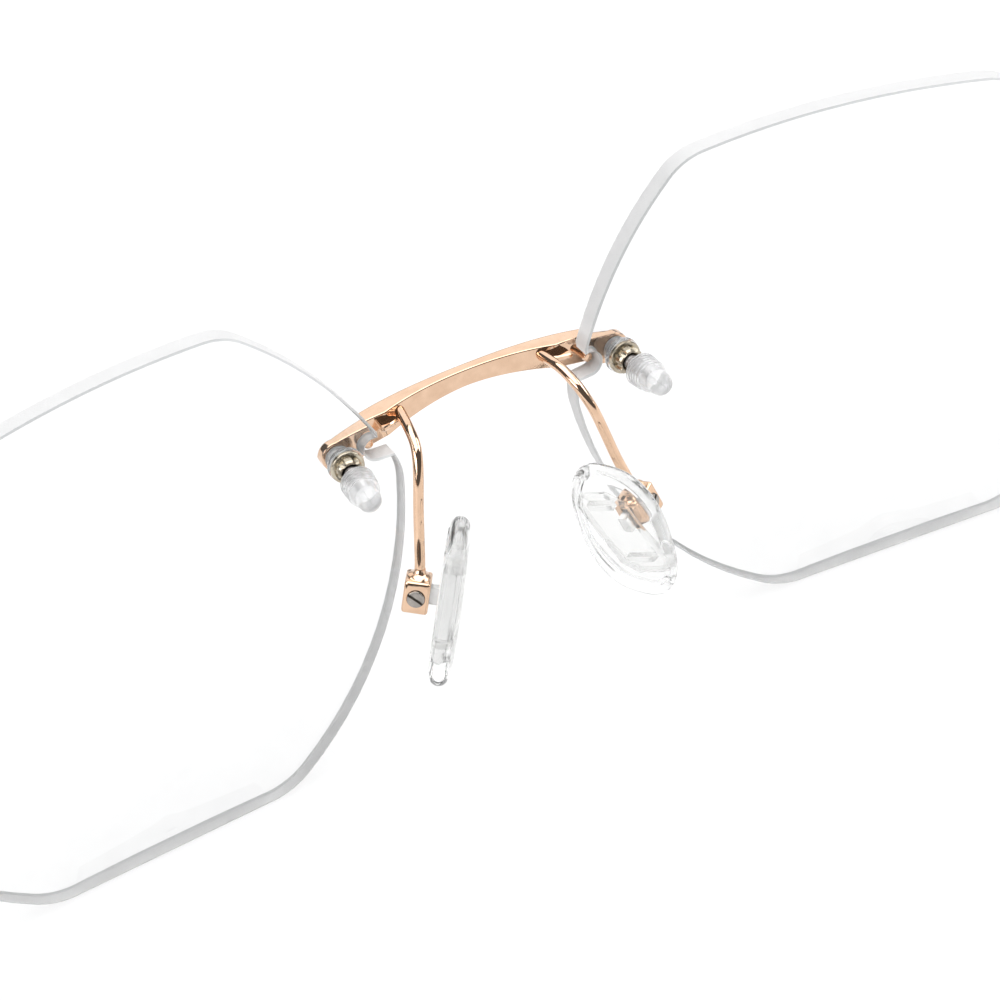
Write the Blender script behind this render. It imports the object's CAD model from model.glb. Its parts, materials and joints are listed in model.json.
"""Rimless eyeglasses: the detailed pieces, their materials, a studio floor and the camera.

Lengths in the piece functions are millimetres. The bridge, the lenses and the pad arms are laid out
in the front's own frame: the origin is midway between the bridge studs at the nuts' outer faces, +X is
the wearer's left, +Y points back and +Z is up. The pieces on a stud, at a pad box and at a hinge are
laid out round it. Every paired piece is made for the left half and then mirrored.
"""
import json
import math

import bmesh
import bpy
from mathutils import Matrix, Vector
from mathutils.geometry import delaunay_2d_cdt


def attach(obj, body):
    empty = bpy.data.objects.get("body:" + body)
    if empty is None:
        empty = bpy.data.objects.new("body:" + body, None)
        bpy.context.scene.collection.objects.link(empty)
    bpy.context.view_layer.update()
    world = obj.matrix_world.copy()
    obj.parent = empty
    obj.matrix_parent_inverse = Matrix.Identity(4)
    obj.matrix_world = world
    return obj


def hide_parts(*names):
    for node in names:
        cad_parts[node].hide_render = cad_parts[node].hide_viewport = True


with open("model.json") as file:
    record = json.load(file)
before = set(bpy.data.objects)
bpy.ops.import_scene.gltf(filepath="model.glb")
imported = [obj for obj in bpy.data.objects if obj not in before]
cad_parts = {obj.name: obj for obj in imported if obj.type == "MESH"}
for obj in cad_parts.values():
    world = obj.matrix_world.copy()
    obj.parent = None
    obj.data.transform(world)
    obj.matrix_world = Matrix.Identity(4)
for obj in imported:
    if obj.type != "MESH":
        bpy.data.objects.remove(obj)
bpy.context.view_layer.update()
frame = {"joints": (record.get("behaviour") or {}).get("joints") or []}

MM = 0.001
SIDES = {"left": 1, "right": -1}

# ---- Dimensions, in millimetres and degrees ----

# The front: its lean, the hinge axes behind the nuts and the studs' distances from the middle
FRONT_TILT = 7.0
HINGE_BACK = 12.0
BRIDGE_STUD_X = 12.25
TEMPLE_STUD_X = 54.6

# Lens: the back surface's radius, the centre that both surfaces share, and the outline's arcs with
# the direction in degrees at which each one starts and ends
LENS_RADIUS = 120.0
LENS_THICKNESS = 1.95
LENS_CENTRE_X = 23.8
LENS_CENTRE_DROP = 4.0
OUTLINE_X = 33.7
OUTLINE_TOP = 15.0
OUTLINE_LEAN = 0.088
OUTLINE_SKEW = 0.015
ARC_RADIUS = (116, 5.4, 44, 4.8, 29.3, 7.4)
ARC_END = (0, 6.1, 44, 67.6, 97.1, 148, 180)
LENS_BEVEL = 0.16
LENS_GRID = 1.6
BORE_R = 0.9
NOTCH_R = 0.95
NOTCH_OFFSET = 0.35

# The pins in the notches, as (across, up) from their stud; y is measured from the lens's back surface
BRIDGE_PIN = (-2.4, 0.3)
TEMPLE_PIN = (2.6, 0.0)
PIN_R = 0.4
PIN_END = -0.9
PIN_ROOT = 0.3

# Clearances: between pieces that are fixed together, and under each tab
FIT = 0.02
SEAT_GAP = 0.06

# Bridge: edge heights and depth at the middle, and where the bar meets the straight tabs
TAB_R = 1.3
BAR_TOP = 2.25
BAR_BOTTOM = 0.75
BAR_DEPTH = 1.15
BAR_BOW = 1.1
TAB_THICKNESS = 1.0
KNEE_X = 7.6

# The pieces on each stud
STUD_R = 0.6
STUD_REACH = 2.9
WASHER_T = 0.45
WASHER_R = 1.5
NUT_T = 1.25
NUT_R = 1.4
CAP_LENGTH = 3.9
CAP_R = 1.4
CAP_TIP_R = 0.98
CAP_GAP = 1.2
BACK_Y = -WASHER_T - NUT_T

# Nose pads: the arm's route, then the box, the pad and the core in the frame of PAD_FRAME
ARM_ROUTE = (
    (6.3, -3.6, 1.45), (6.7, -1.2, 1.3), (7.0, 0.5, 0.7), (7.35, 1.35, -0.3),
    (7.8, 1.85, -1.8), (8.3, 2.05, -4), (8.8, 2.3, -6.4), (9.3, 2.7, -8.4), (9.6, 2.8, -9.5),
)
ARM_R = 0.43
PAD_BOX_AT = (10.05, 2.75, -10.9)
PAD_TURN = (7.5, -16.0, -31.0)
PAD_CENTRE = (-2.63, -0.4, -0.65)
PAD_LENGTH = 15.5
PAD_WIDTH = 8.4
PAD_THICKNESS = 2.2
PAD_RIM_R = 0.8
PAD_LEAN = 12.5
BOX_SIZE = (2.1, 2.4, 2.8)
POCKET_HALF = (0.5, 1.1)
PAD_SCREW_R = 0.4
PAD_HEAD_R = 0.72
PAD_HEAD_T = 0.4
PAD_SLOT_TURN = -28.0
PLATE_HALF = (2.5, 4.6)
PLATE_CORNER = 1.2
PLATE_CHAMFER = 0.28
PLATE_T = 0.95
PLATE_COVER = 0.35
PLATE_LEAN = 10.0
WINDOW_HALF = (1.3, 0.3)
WINDOW_AT = (3.2, -2.9)
LUG_R = 0.8
LUG_HALF = 0.4

# End piece, hinge and temple, round the hinge axis
BLADE_T = 1.0
BLADE_IN = 1.4
BLADE_X = BLADE_IN + BLADE_T / 2
BLADE_HALF = (1.9, 1.1, 0.75)
SHOULDER = (6, 20)
STRIP_HALF = (1.1, 1.35)
CORNER_R = 1.6
BARREL_R = 1.2
BARREL_TOP = 1.95
MIDDLE_BARREL = 0.62
BARREL_GAP = 0.05
HINGE_BORE_R = 0.52
HINGE_HEAD_R = 0.85
HINGE_HEAD_T = 0.45
HINGE_PIN_R = 0.48
BEND_START = 95.0
BEND_R = 30.0
BEND_ANGLE = 41.0
TIP_R = 1.9
TIP_START = 80.0
WIRE_R = 0.6
WIRE_END_GAP = 4.0

# Camera in the front's frame
CAMERA_AZIMUTH = 159.74
CAMERA_ELEVATION = 32.81
CAMERA_ROLL = -10.74
CAMERA_DISTANCE = 339.6
CAMERA_ASIDE = (0.54, -6.55)
CAMERA_LENS = 155.3


# ---- Frames ----

def joint_place(name):
    for joint in frame["joints"]:
        if joint["name"] == name:
            return Vector(joint["pos_m"])
    raise ValueError(name)


HINGE = joint_place("temple_left_fold")
FRONT = (Matrix.Translation((0, HINGE.y - HINGE_BACK * MM, HINGE.z))
         @ Matrix.Rotation(math.radians(FRONT_TILT), 4, "X") @ Matrix.Scale(MM, 4))
AT_HINGE = Matrix.Translation(HINGE) @ Matrix.Scale(MM, 4)
MIRROR = Matrix.Diagonal((-1, 1, 1, 1))


def turned(angles):
    x, y, z = (math.radians(a) for a in angles)
    return Matrix.Rotation(z, 4, "Z") @ Matrix.Rotation(y, 4, "Y") @ Matrix.Rotation(x, 4, "X")


TIP_LENGTH = ((HINGE.z / MM - BEND_R * (1 - math.cos(math.radians(BEND_ANGLE))) - TIP_R)
              / math.sin(math.radians(BEND_ANGLE)))
PAD_FRAME = Matrix.Translation(PAD_BOX_AT) @ turned(PAD_TURN)
LENS_CENTRE_Y = BACK_Y + math.sqrt(
    LENS_RADIUS ** 2 - (BRIDGE_STUD_X - LENS_CENTRE_X) ** 2 - LENS_CENTRE_DROP ** 2)


def lens_y(x, z, radius):
    return LENS_CENTRE_Y - math.sqrt(
        radius ** 2 - (x - LENS_CENTRE_X) ** 2 - (z + LENS_CENTRE_DROP) ** 2)


def on_lens(x, z=0.0):
    """A place on the lens's back surface, with +Y straight back from it."""
    pitch = math.asin(-(LENS_CENTRE_DROP + z) / LENS_RADIUS)
    yaw = math.asin((x - LENS_CENTRE_X) / (LENS_RADIUS * math.cos(pitch)))
    centre = (LENS_CENTRE_X, LENS_CENTRE_Y, -LENS_CENTRE_DROP)
    return (Matrix.Translation(centre) @ Matrix.Rotation(yaw, 4, "Z")
            @ Matrix.Rotation(pitch, 4, "X") @ Matrix.Translation((0, -LENS_RADIUS, 0)))


# ---- Camera, floor and light ----

def camera_axes():
    """The camera's right, its up and the way back from the glasses to it, in the front's frame."""
    az, el, roll = (math.radians(a) for a in (CAMERA_AZIMUTH, CAMERA_ELEVATION, CAMERA_ROLL))
    back = Vector((math.sin(az) * math.cos(el), -math.cos(az) * math.cos(el), math.sin(el)))
    right = (-back).cross(Vector((0, 0, 1))).normalized()
    up = right.cross(-back)
    return (math.cos(roll) * right + math.sin(roll) * up,
            -math.sin(roll) * right + math.cos(roll) * up, back)


def make_camera():
    right, up, back = camera_axes()
    place = right * CAMERA_ASIDE[0] + up * CAMERA_ASIDE[1] + back * CAMERA_DISTANCE
    turn = FRONT.to_3x3().normalized() @ Matrix((right, up, back)).transposed()
    data = bpy.data.cameras.new("camera")
    data.lens = CAMERA_LENS
    data.sensor_width = 36
    data.clip_start = 0.01
    camera = bpy.data.objects.new("camera", data)
    camera.matrix_world = Matrix.Translation(FRONT @ place) @ turn.to_4x4()
    bpy.context.collection.objects.link(camera)
    bpy.context.scene.camera = camera


def soft_box(name, place, target, size, power):
    """An area light at a place in metres, turned to its target, with its size and its watts."""
    data = bpy.data.lights.new(name, "AREA")
    data.shape = "RECTANGLE"
    data.size, data.size_y = size
    data.energy = power
    light = bpy.data.objects.new(name, data)
    light.location = place
    light.rotation_euler = (Vector(target) - Vector(place)).to_track_quat("-Z", "Y").to_euler()
    bpy.context.collection.objects.link(light)


def make_studio():
    mesh = bpy.data.meshes.new("floor")
    half = 3.0
    corners = [(-half, -half, 0), (half, -half, 0), (half, half, 0), (-half, half, 0)]
    mesh.from_pydata(corners, [], [(0, 1, 2, 3)])
    floor = bpy.data.objects.new("floor", mesh)
    bpy.context.collection.objects.link(floor)
    floor.data.materials.append(MATERIALS["floor"])
    glasses = (0, 0, 0.02)
    soft_box("top_light", (0, -0.1, 1.1), (0, 0, 0), (1.5, 1.5), 19)
    soft_box("left_light", (1.0, 0.3, 0.55), glasses, (0.8, 0.5), 5.6)
    soft_box("right_light", (-1.0, 0.1, 0.6), glasses, (0.8, 0.5), 5.6)
    soft_box("front_light", (-0.45, -1.25, 0.72), glasses, (1.7, 1.1), 7)
    world = bpy.data.worlds.new("studio")
    world.use_nodes = True
    background = world.node_tree.nodes["Background"]
    background.inputs["Color"].default_value = (0.93, 0.96, 1, 1)
    background.inputs["Strength"].default_value = 0.12
    bpy.context.scene.world = world
    bpy.context.scene.view_settings.view_transform = "Standard"


# ---- Materials ----

class Nodes:
    """A material's node tree, with short calls for the nodes used here."""

    def __init__(self, name, **values):
        self.material = bpy.data.materials.new(name)
        self.material.use_nodes = True
        self.tree = self.material.node_tree
        self.shader = self.tree.nodes["Principled BSDF"]
        for socket, value in values.items():
            self.shader.inputs[socket.replace("_", " ")].default_value = value

    def add(self, kind, **settings):
        node = self.tree.nodes.new(kind)
        for key, value in settings.items():
            setattr(node, key, value)
        return node

    def link(self, out, into):
        self.tree.links.new(out, into)

    def noise(self, scale, detail=4.0):
        """Noise over the piece's own space, in waves per metre."""
        where = self.add("ShaderNodeTexCoord")
        noise = self.add("ShaderNodeTexNoise")
        noise.inputs["Scale"].default_value = scale
        noise.inputs["Detail"].default_value = detail
        self.link(where.outputs["Object"], noise.inputs["Vector"])
        return noise.outputs["Fac"]

    def spread(self, noise, low, high):
        """Maps noise to the range from low to high, and cuts off its tails."""
        node = self.add("ShaderNodeMapRange")
        limits = {"From Min": 0.3, "From Max": 0.7, "To Min": low, "To Max": high}
        for socket, value in limits.items():
            node.inputs[socket].default_value = value
        self.link(noise, node.inputs["Value"])
        return node.outputs["Result"]

    def blend(self, factor, first, second):
        """Mixes two colours. Sockets 6 and 7 are its colours, and output 2 is the mixed one."""
        node = self.add("ShaderNodeMix", data_type="RGBA")
        self.link(factor, node.inputs["Factor"])
        node.inputs[6].default_value = (*first, 1)
        node.inputs[7].default_value = (*second, 1)
        return node.outputs[2]

    def bump(self, height, strength, distance):
        node = self.add("ShaderNodeBump")
        node.inputs["Strength"].default_value = strength
        node.inputs["Distance"].default_value = distance
        self.link(height, node.inputs["Height"])
        self.link(node.outputs["Normal"], self.shader.inputs["Normal"])

    def use(self, socket, value):
        self.link(value, self.shader.inputs[socket])


def metal(name, light, dark, rough, grain, bump):
    """Polished or machined metal: tone and gloss vary slowly, with a fine grain."""
    nodes = Nodes(name, Metallic=1.0)
    tone = nodes.spread(nodes.noise(900), 0, 1)
    nodes.use("Base Color", nodes.blend(tone, light, dark))
    nodes.use("Roughness", nodes.spread(nodes.noise(2600), *rough))
    nodes.bump(nodes.noise(grain, 6), bump, 0.00003)
    return nodes.material


def clear(name, tint, ior, rough, scale, bump, through):
    """A transparent or milky solid: its gloss varies slowly, over a moulded or ground texture."""
    nodes = Nodes(name, Transmission_Weight=through, IOR=ior)
    tone = nodes.spread(nodes.noise(350), 0, 1)
    nodes.use("Base Color", nodes.blend(tone, tint, tuple(0.97 * c for c in tint)))
    nodes.use("Roughness", nodes.spread(nodes.noise(1500), *rough))
    nodes.bump(nodes.noise(scale, 5), bump, 0.00004)
    return nodes.material


def floor_material():
    nodes = Nodes("floor", Roughness=0.6, Emission_Color=(1, 1, 1, 1), Emission_Strength=0.78)
    tone = nodes.spread(nodes.noise(9), 0, 1)
    nodes.use("Base Color", nodes.blend(tone, (0.18, 0.18, 0.18), (0.173, 0.174, 0.175)))
    return nodes.material


# Light tone, dark tone, range of roughness, grain in waves per metre, strength of its bump
METALS = {
    "rose_gold": ((0.80, 0.56, 0.40), (0.72, 0.49, 0.34), (0.04, 0.10), 6000, 0.06),
    "screw": ((0.44, 0.41, 0.38), (0.30, 0.275, 0.25), (0.14, 0.28), 8000, 0.2),
    "steel": ((0.33, 0.31, 0.30), (0.20, 0.185, 0.18), (0.25, 0.42), 9000, 0.3),
    "nickel": ((0.62, 0.56, 0.45), (0.36, 0.31, 0.24), (0.14, 0.3), 7000, 0.3),
}
# Tint, IOR, range of roughness, texture in waves per metre, strength of its bump, share of the
# light that goes through. The core's IOR is against the silicone round it.
CLEARS = {
    "washer": ((0.985, 0.988, 0.99), 1.4, (0.02, 0.06), 3000, 0.05, 0.88),
    "lens": ((0.99, 0.99, 0.99), 1.5, (0.0, 0.01), 90, 0.004, 1.0),
    "lens_edge": ((0.99, 0.99, 0.99), 1.5, (0.35, 0.55), 7000, 0.5, 0.45),
    "lens_rim": ((0.64, 0.65, 0.655), 1.5, (0.3, 0.45), 7000, 0.15, 0.3),
    "clear_plastic": ((0.97, 0.972, 0.975), 1.4, (0.1, 0.22), 3000, 0.2, 0.75),
    "hard_clear": ((0.93, 0.93, 0.925), 1.49, (0.0, 0.04), 1500, 0.04, 0.6),
    "core_face": ((0.985, 0.985, 0.98), 1.06, (0.0, 0.03), 1500, 0.04, 1.0),
    "core_edge": ((0.95, 0.95, 0.945), 1.06, (0.1, 0.25), 5000, 0.3, 0.8),
    "silicone": ((0.985, 0.988, 0.985), 1.3, (0.0, 0.03), 900, 0.03, 0.97),
    "tip_acetate": ((0.95, 0.945, 0.935), 1.49, (0.04, 0.12), 700, 0.08, 1.0),
}


def make_materials():
    materials = {"floor": floor_material()}
    for name, values in METALS.items():
        materials[name] = metal(name, *values)
    for name, values in CLEARS.items():
        materials[name] = clear(name, *values)
    return materials


MATERIALS = make_materials()


# ---- Mesh helpers ----

def band(bm, lower, upper):
    """Faces between two loops of vertices, all the way round."""
    faces = []
    for i in range(len(lower)):
        j = (i + 1) % len(lower)
        faces.append(bm.faces.new((lower[i], lower[j], upper[j], upper[i])))
    return faces


def skin(bm, rings, closed=False):
    """Faces between rings of points. The ends are capped unless the last ring joins the first."""
    loops = [[bm.verts.new(p) for p in ring] for ring in rings]
    for lower, upper in zip(loops, loops[1:]):
        band(bm, lower, upper)
    if closed:
        band(bm, loops[-1], loops[0])
    else:
        bm.faces.new(loops[0])
        bm.faces.new(loops[-1])


def around(count):
    """Angles in radians, evenly spaced round a full turn."""
    return [2 * math.pi * i / count for i in range(count)]


def lathe(bm, profile, closed=False, steps=40):
    """Turns a profile of (radius, y) about the Y axis."""
    skin(bm, [[Vector((r * math.cos(t), y, r * math.sin(t))) for t in around(steps)]
              for r, y in profile], closed)


def rounded_profile(r, y0, y1, edge=0.08):
    """The profile of a disc or rod with rounded rims."""
    quarter = [math.pi / 2 * i / 4 for i in range(5)]
    return ([(r - edge + edge * math.sin(a), y0 + edge - edge * math.cos(a)) for a in quarter]
            + [(r - edge + edge * math.cos(a), y1 - edge + edge * math.sin(a)) for a in quarter])


def washer_profile(inner, outer, y0, y1, edge=0.08):
    """The profile of a disc with a hole, which closes on itself."""
    return [(inner, y0)] + rounded_profile(outer, y0, y1, edge) + [(inner, y1)]


def smooth_line(points, steps=8):
    """A smooth curve through the points."""
    ends = [points[0]] + [Vector(p) for p in points] + [points[-1]]
    line = []
    for i in range(1, len(ends) - 2):
        a, b, c, d = (Vector(p) for p in ends[i - 1:i + 3])
        for k in range(steps):
            u = k / steps
            line.append((2 * b + (c - a) * u + (2 * a - 5 * b + 4 * c - d) * u ** 2
                         + (3 * b - a - 3 * c + d) * u ** 3) / 2)
    return line + [Vector(points[-1])]


def direction(line, k):
    """The direction of a line of points at its point k."""
    return (line[min(k + 1, len(line) - 1)] - line[max(k - 1, 0)]).normalized()


def tube(bm, line, radius, sides):
    """A round wire along a line, with rounded ends."""
    rings = []
    last = len(line) - 1
    for k, centre in enumerate(line):
        along = direction(line, k)
        across = along.cross(Vector((1, 0, 0))).normalized()
        up = along.cross(across)
        slopes = {0: (-60, -35, 0), last: (0, 35, 60)}.get(k, (0,))
        for slope in (math.radians(a) for a in slopes):
            r = radius * math.cos(slope)
            middle = centre + along * radius * math.sin(slope)
            rings.append([middle + across * r * math.cos(t) + up * r * math.sin(t)
                          for t in around(sides)])
    skin(bm, rings)


def rounded_rect(width, height, radius):
    """Points round a rectangle with rounded corners, as (across, up)."""
    points = []
    for corner, (sx, sy) in enumerate(((1, 1), (-1, 1), (-1, -1), (1, -1))):
        for k in range(5):
            a = math.pi / 2 * (corner + k / 4)
            points.append((sx * (width / 2 - radius) + radius * math.cos(a),
                           sy * (height / 2 - radius) + radius * math.sin(a)))
    return points


def strip(bm, stations, radius):
    """A flat bar through stations of (centre, across, up, width, height)."""
    rings = []
    for centre, across, up, width, height in stations:
        r = min(radius, 0.48 * width, 0.48 * height)
        rings.append([centre + across * a + up * b for a, b in rounded_rect(width, height, r)])
    skin(bm, rings)


def block(bm, low, high, edge):
    """A box from low to high with rounded edges."""
    low, high = Vector(low), Vector(high)
    shape = Matrix.Translation((low + high) / 2) @ Matrix.Diagonal((*(high - low), 1))
    made = bmesh.ops.create_cube(bm, size=1, matrix=shape)
    edges = {e for v in made["verts"] for e in v.link_edges}
    bmesh.ops.bevel(bm, geom=list(edges), offset=edge, segments=3, profile=0.5, affect="EDGES")


def chamfered(outline, low, high, edge):
    """Rings of an outline carried from low to high with chamfered rims, as (outline, height)."""
    inner = inset(outline, edge)
    return [(inner, low), (outline, low + edge), (outline, high - edge), (inner, high)]


def inset(outline, distance):
    """The outline moved inwards, corner by corner."""
    area = sum(a[0] * b[1] - b[0] * a[1] for a, b in zip(outline, outline[1:] + outline[:1]))
    sign = 1 if area > 0 else -1
    moved = []
    for i, point in enumerate(outline):
        before = Vector(point) - Vector(outline[i - 1])
        after = Vector(outline[(i + 1) % len(outline)]) - Vector(point)
        along = (before.normalized() + after.normalized()).normalized()
        moved.append((point[0] - sign * along.y * distance, point[1] + sign * along.x * distance))
    return moved


def as_object(bm, name):
    mesh = bpy.data.meshes.new(name)
    bm.to_mesh(mesh)
    made = bpy.data.objects.new(name, mesh)
    bpy.context.collection.objects.link(made)
    return made


def cut(bm, *tools, operation="DIFFERENCE"):
    """The solid in bm with the solids in the other meshes taken away, or joined to it."""
    for tool in tools:
        for mesh in (bm, tool):
            bmesh.ops.recalc_face_normals(mesh, faces=mesh.faces)
        first, second = as_object(bm, "solid"), as_object(tool, "tool")
        modifier = first.modifiers.new("cut", "BOOLEAN")
        modifier.operation = operation
        modifier.object = second
        modifier.solver = "EXACT"
        result = first.evaluated_get(bpy.context.evaluated_depsgraph_get()).to_mesh()
        bm = bmesh.new()
        bm.from_mesh(result)
        for mesh in (first.data, second.data):
            bpy.data.meshes.remove(mesh)
    return bm


def solid(*makers):
    """A new mesh, filled by each maker in turn."""
    bm = bmesh.new()
    for maker in makers:
        maker(bm)
    return bm


def add_piece(bm, name, side, place, body, slots, replaces=()):
    """Puts a piece made for the left half on its side, with its materials, body and CAD nodes."""
    bm = bm.copy()
    if side == "right":
        place = MIRROR @ place
    bm.transform(place)
    bmesh.ops.recalc_face_normals(bm, faces=bm.faces)
    for face in bm.faces:
        face.smooth = True
    piece = as_object(bm, name)
    piece.data.set_sharp_from_angle(angle=math.radians(32))
    for slot in slots:
        piece.data.materials.append(MATERIALS[slot])
    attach(piece, body)
    if replaces:
        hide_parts(*replaces)
    return piece


def both_sides(bm, name, place, body, slots, node=None):
    """A mirrored pair of pieces. In the name of the body, SIDE stands for the side."""
    for side in SIDES:
        add_piece(bm, f"{name}_{side}_look", side, place, body.replace("SIDE", side), slots,
                  [f"{node}_{side}"] if node else [])


# ---- Lens ----

def arc_step(start, end):
    """The way across an arc of radius 1 between two directions in degrees."""
    a, b = math.radians(start), math.radians(end)
    return Vector((math.sin(a) - math.sin(b), math.cos(b) - math.cos(a)))


def lens_outline(steps=14):
    """The outline as (x, z) points: arcs from the top middle round the nasal side, mirrored."""
    half, corner = [], Vector((0, 0))
    for radius, start, end in zip(ARC_RADIUS, ARC_END, ARC_END[1:]):
        for k in range(steps):
            half.append(corner + radius * arc_step(start, start + (end - start) * k / steps))
        corner = corner + radius * arc_step(start, end)
    half.append(corner)
    depth = -corner.y
    whole = half + [Vector((-p.x, p.y)) for p in reversed(half[1:])]
    return [(OUTLINE_X + p.x + OUTLINE_SKEW * (p.y + depth / 2),
             OUTLINE_TOP + p.y - OUTLINE_LEAN * p.x * (p.y + depth) / depth) for p in whole]


def cut_notch(outline, centre, side):
    """Replaces the stretch of outline at a notch by the notch's walls and round inner end."""
    cx, cz = centre
    inside = [abs(z - cz) < NOTCH_R and side * (x - cx) > 0 for x, z in outline]
    first = next(i for i in range(len(outline)) if inside[i] and not inside[i - 1])
    in_order = zip(outline[first:] + outline[:first], inside[first:] + inside[:first])
    kept = [point for point, gone in in_order if not gone]
    before, after = kept[-1], kept[0]
    enter = 1 if before[1] > cz else -1
    half_turn = [math.pi * k / 12 for k in range(13)]
    arc = [(cx - side * NOTCH_R * math.sin(a), cz + enter * NOTCH_R * math.cos(a))
           for a in half_turn]
    return (kept + [(before[0], cz + enter * NOTCH_R)] + arc
            + [(after[0], cz - enter * NOTCH_R)])


def bore_points(stud_x, radius):
    """Points round a bore, in the other direction from the outline."""
    x, z = place_on_lens(stud_x, 0, 0)
    return [(x + radius * math.cos(t), z + radius * math.sin(t)) for t in reversed(around(32))]


def place_on_lens(stud_x, across, up):
    """(x, z) in the front's frame of a place beside a stud."""
    point = on_lens(stud_x) @ Vector((across, 0, up))
    return point.x, point.z


def inside_of(point, loop):
    """Whether a point is inside a loop: a ray from it crosses the loop an odd number of times."""
    x, z = point
    hit = False
    for (x0, z0), (x1, z1) in zip(loop, loop[1:] + loop[:1]):
        if (z0 > z) != (z1 > z) and x < x0 + (x1 - x0) * (z - z0) / (z1 - z0):
            hit = not hit
    return hit


def lens_loops():
    """The edge with both notches and the two bores: the walls' loops, then the faces' rims."""
    nasal = place_on_lens(BRIDGE_STUD_X, BRIDGE_PIN[0] - NOTCH_OFFSET, BRIDGE_PIN[1])
    temporal = place_on_lens(TEMPLE_STUD_X, TEMPLE_PIN[0] + NOTCH_OFFSET, TEMPLE_PIN[1])
    outline = cut_notch(cut_notch(lens_outline(), nasal, -1), temporal, 1)
    studs = (BRIDGE_STUD_X, TEMPLE_STUD_X)
    walls = [outline] + [bore_points(x, BORE_R) for x in studs]
    rims = [inset(outline, LENS_BEVEL)] + [bore_points(x, BORE_R + LENS_BEVEL) for x in studs]
    return walls, rims


def grid_lines(outline, axis):
    low = min(p[axis] for p in outline)
    high = max(p[axis] for p in outline)
    return [low + LENS_GRID * i for i in range(int((high - low) / LENS_GRID) + 1)]


def grid_points(outline, rims):
    """A grid of points over the lens face, clear of its rims."""
    rim = [Vector(p) for loop in rims for p in loop]
    points = []
    for x in grid_lines(outline, 0):
        for z in grid_lines(outline, 1):
            spot = Vector((x, z))
            on_face = inside_of((x, z), rims[0]) and not in_bore((x, z), rims)
            if on_face and min((spot - p).length for p in rim) > 0.6 * LENS_GRID:
                points.append(spot)
    return points


def in_bore(point, rims):
    return any(inside_of(point, bore) for bore in rims[1:])


def lens_faces(outline, rims):
    """Triangles over the face: their points, their corners and where each rim point went."""
    points, edges = [], []
    for loop in rims:
        start = len(points)
        points += [Vector(p) for p in loop]
        edges += [(start + i, start + (i + 1) % len(loop)) for i in range(len(loop))]
    points += grid_points(outline, rims)
    found, _, triangles, origins, _, _ = delaunay_2d_cdt(points, edges, [], 1, 1e-6)
    new_of = {old: new for new, olds in enumerate(origins) for old in olds}

    def middle(triangle):
        return tuple(sum((found[i] for i in triangle), Vector((0, 0))) / 3)

    return found, [t for t in triangles if not in_bore(middle(t), rims)], new_of


def lens_mesh():
    """A curved plate: polished faces (slot 0), ground edges and bores (1) and their rims (2)."""
    walls, rims = lens_loops()
    points, triangles, new_of = lens_faces(walls[0], rims)
    back_r, front_r = LENS_RADIUS, LENS_RADIUS + LENS_THICKNESS
    bm = bmesh.new()
    face = {}
    for radius in (back_r, front_r):
        face[radius] = [bm.verts.new((p.x, lens_y(p.x, p.y, radius), p.y)) for p in points]
        for triangle in triangles:
            bm.faces.new([face[radius][i] for i in triangle])
    start = 0
    for loop in walls:
        own = [new_of[start + i] for i in range(len(loop))]
        wall = {}
        for radius, shift in ((back_r, -LENS_BEVEL), (front_r, LENS_BEVEL)):
            wall[radius] = [bm.verts.new((x, lens_y(x, z, radius) + shift, z)) for x, z in loop]
        for slot, lower, upper in ((2, [face[back_r][i] for i in own], wall[back_r]),
                                   (1, wall[back_r], wall[front_r]),
                                   (2, wall[front_r], [face[front_r][i] for i in own])):
            for made in band(bm, lower, upper):
                made.material_index = slot
        start += len(loop)
    return bm


def make_lenses():
    both_sides(lens_mesh(), "lens", FRONT, "front", ["lens", "lens_edge", "lens_rim"], "lens")


# ---- Lens mount ----

def thread_profile(r, y0, y1):
    """The profile of a thread, as a row of rings."""
    pitch = 0.25
    depth = 0.06
    turns = int((y1 - y0) / pitch)
    profile = [(r - depth, y0)]
    for i in range(turns):
        profile += [(r, y0 + pitch * (i + 0.5)), (r - depth, y0 + pitch * (i + 1))]
    return profile


def stud_mesh():
    """A post: plain through the lens and the nut, threaded behind them, with a chamfered end."""
    start = -LENS_THICKNESS - SEAT_GAP
    plain = WASHER_T + NUT_T - 0.1
    end = WASHER_T + NUT_T + STUD_REACH
    profile = [(STUD_R - FIT, start), (STUD_R - FIT, plain)]
    profile += thread_profile(STUD_R, plain + FIT, end - 0.1)
    profile.append((STUD_R - 0.15, end))
    return solid(lambda bm: lathe(bm, profile))


def bush_mesh():
    profile = washer_profile(STUD_R + FIT, BORE_R - FIT, -LENS_THICKNESS, 0, 0.05)
    return solid(lambda bm: lathe(bm, profile, closed=True))


def washer_mesh():
    profile = washer_profile(STUD_R + FIT, WASHER_R, FIT, WASHER_T, 0.14)
    return solid(lambda bm: lathe(bm, profile, closed=True))


def crown_ring(radius, y, dip):
    """Points round the nut's crown, pulled in by up to dip at its six scallops."""
    points = []
    for t in around(96):
        r = radius - dip * max(0.0, math.cos(6 * t)) ** 0.8
        points.append(Vector((r * math.cos(t), y, r * math.sin(t))))
    return points


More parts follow.
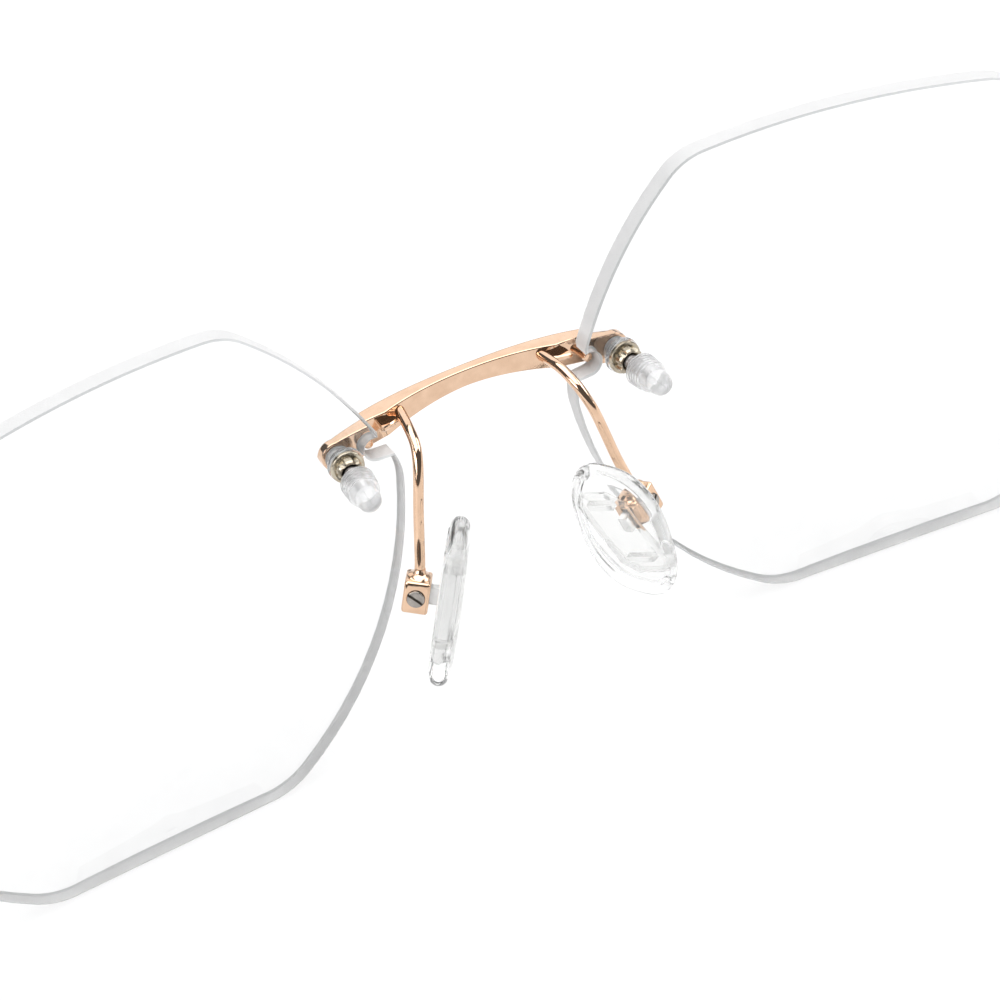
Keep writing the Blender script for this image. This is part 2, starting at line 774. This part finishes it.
def nut_mesh():
    """A flange and a crown with six scallops, countersunk round the stud."""
    flange_t = 0.38
    crown_r = 1.14
    hole = STUD_R + 0.03
    base = WASHER_T + FIT
    top = WASHER_T + NUT_T
    flange = washer_profile(hole, NUT_R, base, base + flange_t, 0.1)
    crown = [crown_ring(hole, base + 0.1, 0), crown_ring(crown_r, base + 0.1, 0.2),
             crown_ring(crown_r, top - 0.16, 0.2), crown_ring(crown_r - 0.12, top, 0.16),
             crown_ring(crown_r - 0.3, top, 0), crown_ring(hole, top - 0.24, 0)]
    return solid(lambda bm: lathe(bm, flange, closed=True), lambda bm: skin(bm, crown, closed=True))


def cap_mesh():
    """A soft bullet with ribs round its open half and a bore for the stud."""
    y0 = WASHER_T + NUT_T + CAP_GAP
    rib_pitch, rib_count, groove = 0.34, 5, 0.17
    ribs_end, bore_depth = 2.3, 2.1
    outer = [(STUD_R + 0.25, y0), (CAP_R - 0.1, y0 + 0.02), (CAP_R, y0 + 0.12)]
    for i in range(rib_count):
        y = 0.24 + rib_pitch * i
        rib_r = CAP_R - 0.1 * (y / 2) ** 2
        outer += [(rib_r, y0 + y), (rib_r - groove, y0 + y + 0.05),
                  (rib_r - groove, y0 + y + 0.11), (rib_r - 0.02, y0 + y + 0.17)]
    outer.append((CAP_TIP_R * 1.1, y0 + ribs_end))
    shoulder = y0 + CAP_LENGTH - CAP_TIP_R
    outer += [(CAP_TIP_R * math.cos(a), shoulder + CAP_TIP_R * math.sin(a))
              for a in (math.pi / 2 * k / 10 for k in range(10))]
    outer.append((0.02, y0 + CAP_LENGTH))
    bore = [(0.02, y0 + bore_depth + 0.1), (STUD_R, y0 + bore_depth), (STUD_R + 0.04, y0 + 0.02)]
    return solid(lambda bm: lathe(bm, outer + bore, closed=True, steps=56))


def make_lens_mounts():
    pieces = {"stud": (stud_mesh, "steel"), "bush": (bush_mesh, "washer"),
              "washer": (washer_mesh, "washer"), "nut": (nut_mesh, "nickel"),
              "cap": (cap_mesh, "clear_plastic")}
    for end, stud_x in (("bridge", BRIDGE_STUD_X), ("temple", TEMPLE_STUD_X)):
        place = FRONT @ on_lens(stud_x)
        for piece, (mesh, slot) in pieces.items():
            both_sides(mesh(), f"{end}_{piece}", place, "front", [slot], f"{end}_{piece}")


# ---- Bridge ----

TAB_SLOPE = (BRIDGE_STUD_X - LENS_CENTRE_X) / (LENS_RADIUS + LENS_THICKNESS)
TAB_BACK = lens_y(BRIDGE_STUD_X, 0, LENS_RADIUS + LENS_THICKNESS) - SEAT_GAP


def tab_y(x):
    return TAB_BACK + TAB_SLOPE * (abs(x) - BRIDGE_STUD_X)


def bar_back(x):
    if abs(x) > KNEE_X:
        return tab_y(x)
    return tab_y(KNEE_X) - BAR_BOW * (1 - (x / KNEE_X) ** 2)


def bar_front(x):
    """The front face: one smooth curve from tab to tab."""
    if abs(x) > BRIDGE_STUD_X:
        return tab_y(x) - TAB_THICKNESS
    middle = bar_back(0) - BAR_DEPTH
    return middle + (TAB_BACK - TAB_THICKNESS - middle) * (x / BRIDGE_STUD_X) ** 2


def bar_edges(x):
    """Heights of the bar's top and bottom edge; past the stud the tab is round."""
    past = abs(x) - BRIDGE_STUD_X
    if past > 0:
        half = math.sqrt(max(TAB_R ** 2 - past ** 2, 0.0004))
        return half, -half
    reach = abs(x) / BRIDGE_STUD_X
    return (BAR_TOP - (BAR_TOP - TAB_R) * reach ** 3,
            BAR_BOTTOM - (BAR_BOTTOM + TAB_R) * reach ** 1.7)


def bar_ring(x):
    """The bar's section: crisp edges at the flat back and a rounded top at the front."""
    top, bottom = bar_edges(x)
    back, front = bar_back(x), bar_front(x)
    corners = ((back, top, 0.13), (front, top, 0.32), (front, bottom, 0.3), (back, bottom, 0.13))
    ring = []
    for corner, (y, z, radius) in enumerate(corners):
        r = min(radius, 0.46 * (top - bottom))
        sy = 1 if y == back else -1
        sz = 1 if z == top else -1
        for k in range(7):
            a = math.pi / 2 * (corner + k / 6)
            ring.append(Vector((x, y - sy * r + r * math.cos(a), z - sz * r + r * math.sin(a))))
    return ring


def bar_mesh():
    ends = [BRIDGE_STUD_X + TAB_R * math.sin(math.pi / 2 * k / 14) for k in range(1, 15)]
    middle = [BRIDGE_STUD_X * (k / 40) for k in range(-40, 41)]
    xs = [-x for x in reversed(ends)] + middle + ends
    return solid(lambda bm: skin(bm, [bar_ring(x) for x in xs]))


def shelf_mesh():
    """The thin shelf behind the bar, from the pad arm out to the edge of the lens."""
    low, high = 0.95, 1.4
    foot, end = 5.9, 8.4
    plan = [(foot, bar_back(foot) - 0.2), (6.3, -3.1), (7.3, -2.5), (8.3, -2.2), (8.5, -2.4),
            (8.45, -2.8), (end, bar_back(end) - 0.2)]
    rings = [[Vector((x, y, z)) for x, y in ring] for ring, z in chamfered(plan, low, high, 0.1)]
    return solid(lambda bm: skin(bm, rings))


def notch_pin_mesh(place):
    """The pin that stands in a lens notch, in the frame of on_lens()."""
    profile = rounded_profile(PIN_R, -LENS_THICKNESS - SEAT_GAP - PIN_ROOT, PIN_END, 0.1)
    bm = solid(lambda bm: lathe(bm, profile))
    bm.transform(Matrix.Translation((place[0], 0, place[1])))
    return bm


def make_bridge():
    add_piece(bar_mesh(), "bridge_bar_look", "left", FRONT, "front", ["rose_gold"], ["bridge"])
    both_sides(shelf_mesh(), "bridge_shelf", FRONT, "front", ["rose_gold"])
    both_sides(notch_pin_mesh(BRIDGE_PIN), "bridge_notch_pin", FRONT @ on_lens(BRIDGE_STUD_X),
               "front", ["rose_gold"])


# ---- Nose pad assembly ----

def arm_mesh():
    line = smooth_line(ARM_ROUTE)
    return solid(lambda bm: tube(bm, line, ARM_R, 28))


def box_mesh():
    """The pad box: a rounded block with its pocket and screw seat, and a collar on the arm."""
    half = [s / 2 for s in BOX_SIZE]
    pocket_y, pocket_z = POCKET_HALF
    head_r = PAD_HEAD_R + 2 * FIT
    pocket = solid(lambda bm: block(bm, (-2, -pocket_y, -pocket_z), (0.85, pocket_y, pocket_z), 0.05))
    seat = solid(lambda bm: lathe(bm, [(head_r, 0.7), (head_r, 3)], steps=32))
    bm = cut(solid(lambda bm: block(bm, [-h for h in half], half, 0.24)), pocket, seat)
    collar = [(0.98, -0.12), (0.98, 0.06), (0.84, 0.22), (0.6, 0.3), (0.5, 0.42), (0.44, 0.75)]
    lathe_up(bm, [(r, half[2] + height) for r, height in collar])
    return bm


def lathe_up(bm, profile, closed=False):
    """Turns a profile of (radius, height) about the Z axis."""
    part = solid(lambda made: lathe(made, profile, closed, steps=32))
    part.transform(Matrix.Rotation(math.radians(90), 4, "X"))
    made = bpy.data.meshes.new("turned")
    part.to_mesh(made)
    bm.from_mesh(made)
    bpy.data.meshes.remove(made)


def slotted(head, y1, slot_w, slot_depth, turn=0.0):
    """A screw head, turned about Y, with a slot across its face at y1."""
    low, high = (-2, y1 - slot_depth, -slot_w / 2), (2, y1 + 1, slot_w / 2)
    saw = solid(lambda bm: block(bm, low, high, 0.01))
    saw.transform(Matrix.Rotation(math.radians(turn), 4, "Y"))
    return cut(head, saw)


def pad_screw_mesh():
    top = BOX_SIZE[1] / 2
    face = top + 0.18
    head = solid(lambda bm: lathe(bm, rounded_profile(PAD_HEAD_R, top - PAD_HEAD_T, face, 0.07)))
    bm = slotted(head, face, 0.24, 0.24, PAD_SLOT_TURN)
    lathe(bm, rounded_profile(PAD_SCREW_R, -top, top - 0.3, 0.05))
    return bm


def oval(scale):
    """Points round the pad's oval, a little squarer than an ellipse, as (y, z)."""
    power = 2 / 2.5
    points = []
    for a in around(56):
        c, s = math.cos(a), math.sin(a)
        points.append((scale * PAD_WIDTH / 2 * math.copysign(abs(c) ** power, c),
                       scale * PAD_LENGTH / 2 * math.copysign(abs(s) ** power, s)))
    return points


def pad_rows():
    """The pad's section as (share of the oval, x), from the middle of the back to the face."""
    dome = PAD_THICKNESS / 2
    slope = dome - PAD_RIM_R
    step_in, step_out, rim = 0.8, 0.85, 0.88

    def back(share):
        return dome - slope * share ** 2

    rows = [(0.02, back(0) - 0.25), (step_in - 0.02, back(step_in) - 0.25),
            (step_in, back(step_in) - 0.2), (step_in + 0.02, back(step_in)),
            (step_out, back(step_out)), (step_out + 0.02, back(step_out) - 0.16)]
    rows += [(rim + (1 - rim) * math.sin(a), PAD_RIM_R * math.cos(a))
             for a in (math.pi * k / 12 for k in range(1, 13))]
    return rows + [(share, slope * share ** 3 - dome) for share in (0.78, 0.6, 0.4, 0.2, 0.02)]


def pad_mesh():
    """The silicone pad: domed on both sides, with a soft rim and a raised ring at the back."""
    rings = [[Vector((x, y, z)) for y, z in oval(share)] for share, x in pad_rows()]
    bm = solid(lambda bm: skin(bm, rings))
    bm.transform(Matrix.Translation(PAD_CENTRE) @ turned((-PAD_LEAN, 0, 0)))
    return bm


def plate_mesh():
    """The core's cornered plate with its two windows, moulded into the pad."""
    w, h = PLATE_HALF
    c = PLATE_CORNER
    plan = [(w, h - c), (w - c, h), (c - w, h), (-w, h - c), (-w, c - h), (c - w, -h),
            (w - c, -h), (w, c - h)]
    back = PAD_THICKNESS / 2 - PLATE_COVER
    rings = [[Vector((x, y, z)) for y, z in ring]
             for ring, x in chamfered(plan, back - PLATE_T, back, PLATE_CHAMFER)]
    windows = []
    for at in WINDOW_AT:
        low = (-1, -WINDOW_HALF[0], at - WINDOW_HALF[1])
        high = (2, WINDOW_HALF[0], at + WINDOW_HALF[1])
        windows.append(solid(lambda bm: block(bm, low, high, 0.03)))
    bm = cut(solid(lambda bm: skin(bm, rings)), *windows)
    bm.transform(Matrix.Translation(PAD_CENTRE) @ turned((PLATE_LEAN, 0, 0)))
    return bm


def core_mesh():
    """The plate, its neck and the lug round the screw. Outside the pad the core takes slot 0.
    Inside it, the plate's flat faces take slot 1 and its edges slot 2."""
    x = PAD_CENTRE[0]
    neck_from, neck_to = (x + 0.6, -LUG_HALF, -0.75), (-0.1, LUG_HALF, 0.75)
    neck = solid(lambda bm: block(bm, neck_from, neck_to, 0.08))
    lug = solid(lambda bm: lathe(bm, rounded_profile(LUG_R, -LUG_HALF, LUG_HALF, 0.06)))
    bore_r = PAD_SCREW_R + 0.03
    bore = solid(lambda bm: lathe(bm, [(bore_r, -1), (bore_r, 1)]))
    bm = cut(cut(plate_mesh(), neck, lug, operation="UNION"), bore)
    bm.normal_update()
    for face in bm.faces:
        moulded_in = face.calc_center_median().x < x + PAD_THICKNESS / 2 - 0.3
        flat = abs(face.normal.x) > 0.95
        face.material_index = (1 if flat else 2) if moulded_in else 0
    return bm


def make_pads():
    place = FRONT @ PAD_FRAME
    both_sides(arm_mesh(), "pad_arm", FRONT, "front", ["rose_gold"], "pad_arm")
    both_sides(box_mesh(), "pad_box", place, "front", ["rose_gold"], "pad_box")
    both_sides(pad_screw_mesh(), "pad_screw", place, "front", ["screw"], "pad_screw")
    both_sides(pad_mesh(), "nose_pad", place, "pad_SIDE", ["silicone"], "nose_pad")
    both_sides(core_mesh(), "pad_core", place, "pad_SIDE", ["hard_clear", "core_face", "core_edge"],
               "pad_core")


# ---- End piece, hinge and temple: in millimetres round the left hinge axis ----

def end_piece_line():
    """The end piece's middle line: along the lens, round the corner and back to the hinge."""
    to_hinge = AT_HINGE.inverted() @ FRONT @ on_lens(TEMPLE_STUD_X)
    depth = -LENS_THICKNESS - SEAT_GAP - BLADE_T / 2
    stud = to_hinge @ Vector((0, depth, 0))
    along = (to_hinge.to_3x3() @ Vector((1, 0, 0))).normalized()
    reach = (BLADE_X - stud.x) / along.x
    corner = stud + along * reach
    start = corner - along * CORNER_R
    level = Vector((BLADE_X, corner.y + CORNER_R, 0))
    turn = [start.lerp(corner, u).lerp(corner.lerp(level, u), u) for u in (k / 10 for k in range(11))]
    ends = [Vector((BLADE_X, y, 0)) for y in (-BARREL_R * 1.6, -BARREL_GAP)]
    return [stud] + turn + ends


def end_piece_mesh():
    """A strip that grows taller from the lens to the corner and to the hinge, with two barrels."""
    line = end_piece_line()
    up = Vector((0, 0, 1))
    at_lens, at_corner = STRIP_HALF
    shares = len(line) - 2
    stations = []
    for k, centre in enumerate(line):
        across = direction(line, k).cross(up).normalized()
        half = at_lens + (at_corner - at_lens) * k / shares if k <= shares else BARREL_TOP
        stations.append((centre, across, up, BLADE_T, 2 * half))
    bm = solid(lambda bm: strip(bm, stations, 0.25))
    low = MIDDLE_BARREL + BARREL_GAP
    for z0, z1 in ((low, BARREL_TOP), (-BARREL_TOP, -low)):
        barrel(bm, z0, z1)
        knuckle(bm, -BARREL_R, -BARREL_GAP, z0, z1)
    return bm


def barrel(bm, z0, z1):
    lathe_up(bm, washer_profile(HINGE_BORE_R, BARREL_R, z0, z1), closed=True)


def knuckle(bm, y0, y1, z0, z1):
    """The web that joins a barrel to its blade."""
    block(bm, (0.6, y0, z0), (BLADE_IN + 0.3, y1, z1), 0.06)


def tab_disc_mesh():
    """The round tab in front of the temple side of the lens, in the frame of on_lens()."""
    back = -LENS_THICKNESS - SEAT_GAP
    return solid(lambda bm: lathe(bm, rounded_profile(TAB_R, back - BLADE_T, back, 0.2)))


def hinge_screw_mesh():
    """A slotted head, sunk into the top barrel, and its pin."""
    top = BARREL_TOP + FIT
    low, high = (-2, -0.12, top - 0.14), (2, 0.12, top + 1)
    saw = solid(lambda bm: block(bm, low, high, 0.01))
    profile = rounded_profile(HINGE_HEAD_R, top - HINGE_HEAD_T, top, 0.1)
    bm = cut(solid(lambda bm: lathe_up(bm, profile)), saw)
    lathe_up(bm, rounded_profile(HINGE_PIN_R, -BARREL_TOP, BARREL_TOP - 0.4, 0.06))
    return bm


def blade_half(y):
    """Half the temple's height at a distance from the hinge."""
    places = (0, *SHOULDER, TIP_START)
    halves = (BLADE_HALF[0], *BLADE_HALF)
    for y0, y1, h0, h1 in zip(places, places[1:], halves, halves[1:]):
        if y <= y1:
            u = (y - y0) / (y1 - y0)
            return h0 + (h1 - h0) * u * u * (3 - 2 * u)


def temple_line(start, drop):
    """The straight, the bend over the ear and the drop, as (y, z, angle below level)."""
    steps = 16
    line = [(start, 0.0, 0.0)]
    for k in range(steps + 1):
        a = math.radians(BEND_ANGLE) * k / steps
        line.append((BEND_START + BEND_R * math.sin(a), -BEND_R * (1 - math.cos(a)), a))
    y, z, a = line[-1]
    line += [(y + drop * u * math.cos(a), z - drop * u * math.sin(a), a) for u in (0.33, 0.66, 1)]
    return line


def rod_ring(y, z, a, half_x, half_z):
    """Points round a rod that points a radians below level."""
    up = Vector((0, math.sin(a), math.cos(a)))
    return [Vector((BLADE_X + half_x * math.cos(t), y, z)) + up * half_z * math.sin(t)
            for t in around(32)]


def bent_rod(bm, halves, start, drop):
    """A rod along the temple line with a round end. halves gives its half width and half height
    at a share of the line."""
    line = temple_line(start, drop)
    rings = [rod_ring(y, z, a, *halves(k / (len(line) - 1))) for k, (y, z, a) in enumerate(line)]
    y, z, a = line[-1]
    half_x, half_z = halves(1)
    for slope in (math.radians(angle) for angle in (20, 40, 60, 75, 86)):
        ahead = half_z * math.sin(slope)
        narrow = math.cos(slope)
        rings.append(rod_ring(y + ahead * math.cos(a), z - ahead * math.sin(a), a,
                              half_x * narrow, half_z * narrow))
    skin(bm, rings)


def temple_mesh():
    """The middle barrel, the blade that thins towards the ear and the wire inside the tip."""
    ys = [BARREL_GAP, 0.4, 1.5, 3, *range(6, 22, 2), 30, 45, 60, 78, TIP_START - 0.05]
    across, up = Vector((1, 0, 0)), Vector((0, 0, 1))
    stations = [(Vector((BLADE_X, y, 0)), across, up, BLADE_T, 2 * blade_half(y)) for y in ys]
    wire = (WIRE_R - FIT, WIRE_R - FIT)
    return solid(lambda bm: strip(bm, stations, 0.28),
                 lambda bm: barrel(bm, -MIDDLE_BARREL, MIDDLE_BARREL),
                 lambda bm: knuckle(bm, BARREL_GAP, BARREL_R, -MIDDLE_BARREL, MIDDLE_BARREL),
                 lambda bm: bent_rod(bm, lambda share: wire, TIP_START - 2,
                                     TIP_LENGTH - WIRE_END_GAP - WIRE_R))


def tip_mesh():
    """The clear tip: a flattened sleeve that swells to its end, hollow where the wire runs."""
    def outer(share):
        half = TIP_R * (0.86 + 0.14 * share)
        return half * 0.86, half

    bore = (WIRE_R + 0.03, WIRE_R + 0.03)
    shell = solid(lambda bm: bent_rod(bm, outer, TIP_START + 0.05, TIP_LENGTH - 0.1))
    hollow = solid(lambda bm: bent_rod(bm, lambda share: bore, TIP_START - 1,
                                       TIP_LENGTH - WIRE_END_GAP))
    return cut(shell, hollow)


def make_temples():
    both_sides(end_piece_mesh(), "end_piece", AT_HINGE, "front", ["rose_gold"], "end_piece")
    at_stud = FRONT @ on_lens(TEMPLE_STUD_X)
    both_sides(tab_disc_mesh(), "end_piece_tab", at_stud, "front", ["rose_gold"])
    both_sides(notch_pin_mesh(TEMPLE_PIN), "temple_notch_pin", at_stud, "front", ["rose_gold"])
    both_sides(hinge_screw_mesh(), "hinge_screw", AT_HINGE, "front", ["screw"], "hinge_screw")
    both_sides(temple_mesh(), "temple", AT_HINGE, "temple_SIDE", ["rose_gold"], "temple")
    both_sides(tip_mesh(), "temple_tip", AT_HINGE, "temple_SIDE", ["tip_acetate"], "temple_tip")


make_camera()
make_studio()
make_bridge()
make_lenses()
make_lens_mounts()
make_pads()
make_temples()
